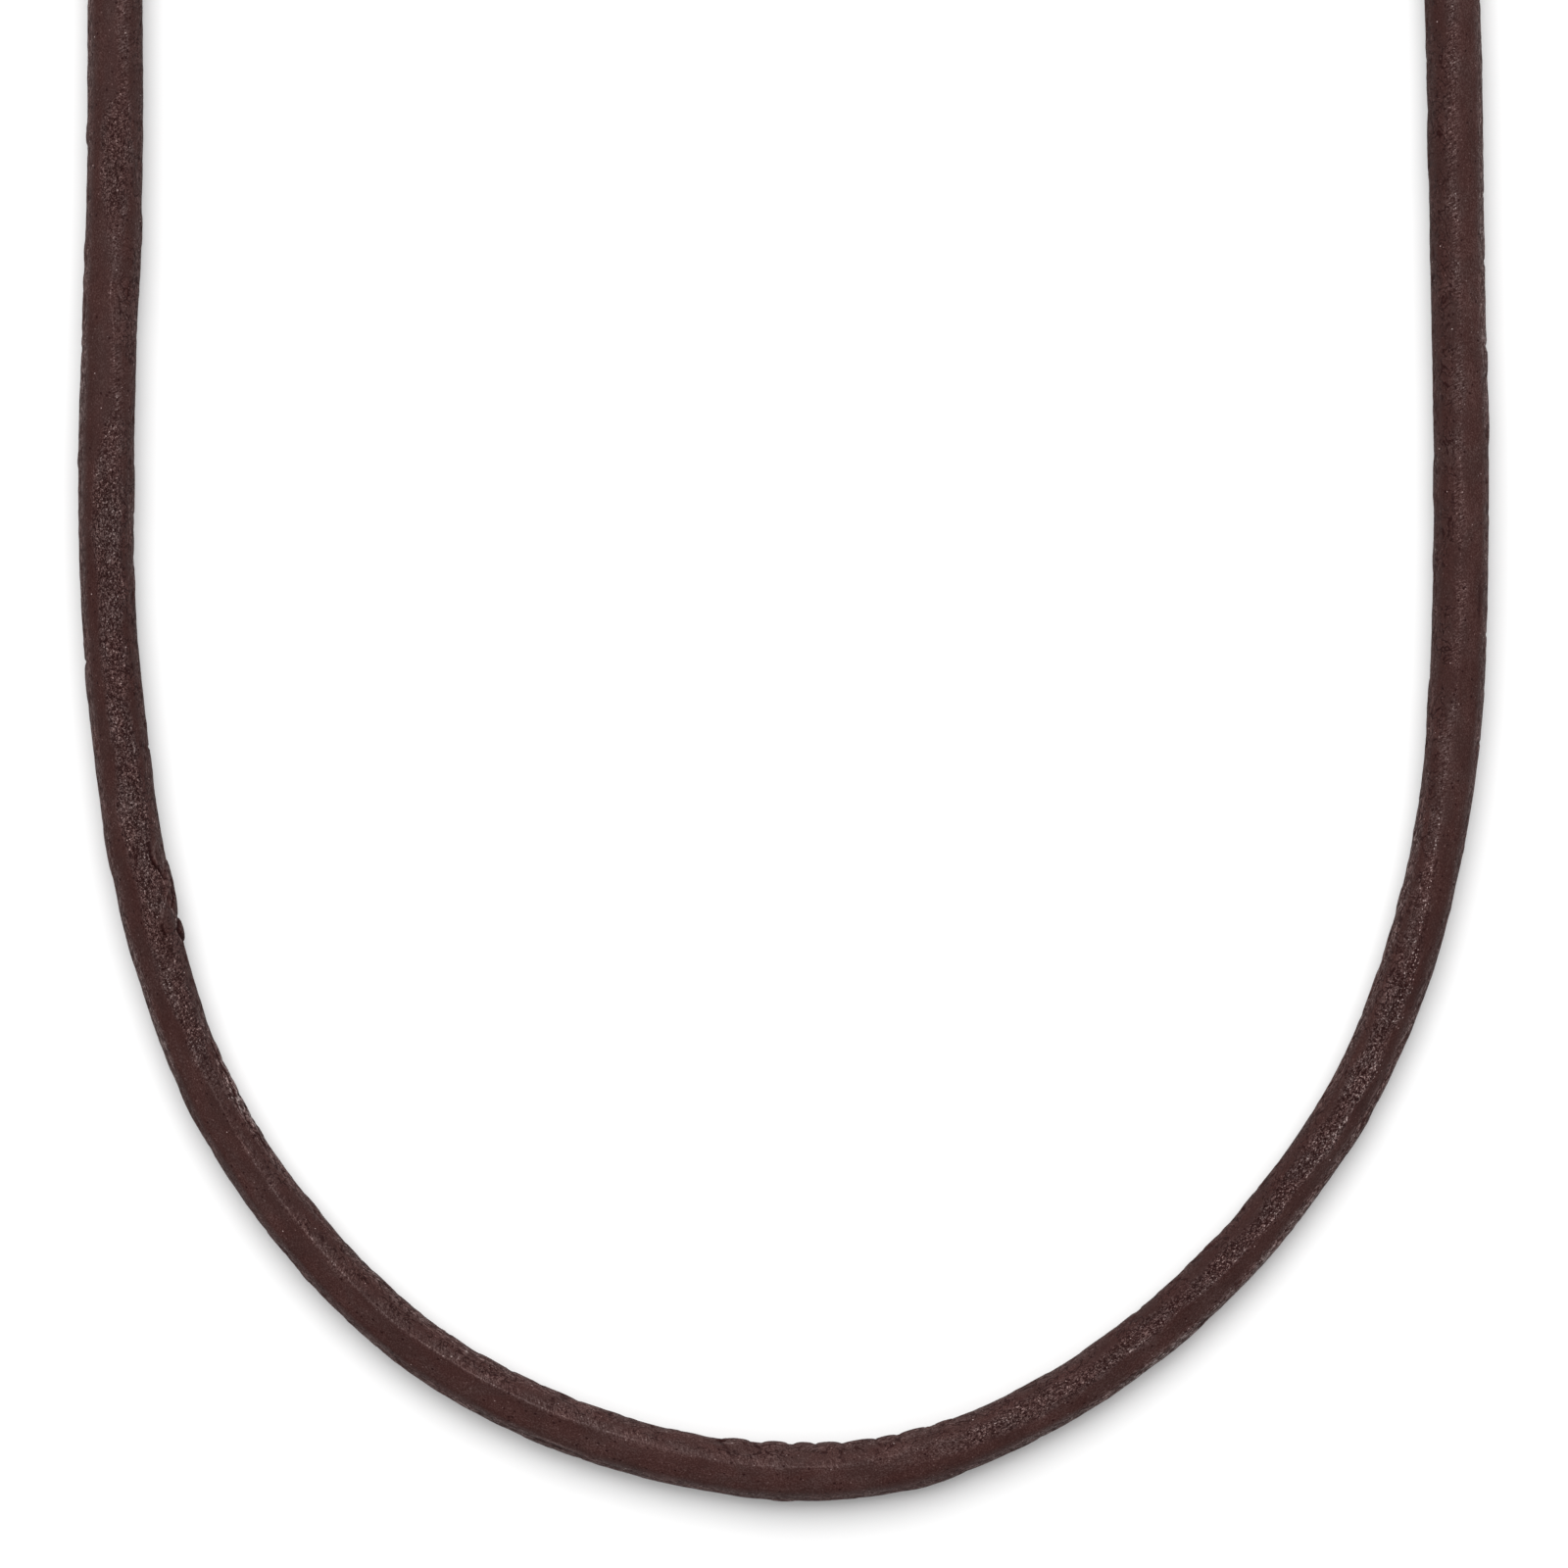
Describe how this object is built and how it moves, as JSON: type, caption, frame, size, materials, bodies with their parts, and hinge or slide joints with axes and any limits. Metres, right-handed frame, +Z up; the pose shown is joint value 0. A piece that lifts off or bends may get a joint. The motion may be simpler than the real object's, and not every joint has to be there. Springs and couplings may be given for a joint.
{
  "type": "leather cord necklace",
  "caption": "Round dark brown leather cord necklace, a whole loop laid flat and closed by a plain barrel clasp, worn bare or with a pendant slid on.",
  "frame": {"origin": "on the surface that the necklace lies on, under the middle of the loop's outer box", "axes": "+Y from the front of the neck to the clasp at the back, +X across the loop, +Z up from the surface"},
  "size_m": [0.1026, 0.1793, 0.0065],
  "materials": {
    "leather": "dark brown smooth leather with a fine creased grain, matt",
    "clasp_steel": "polished stainless steel"
  },
  "bodies": {
    "root": {"leather_cord": "leather", "clasp": "clasp_steel"}
  },
  "joints": []
}
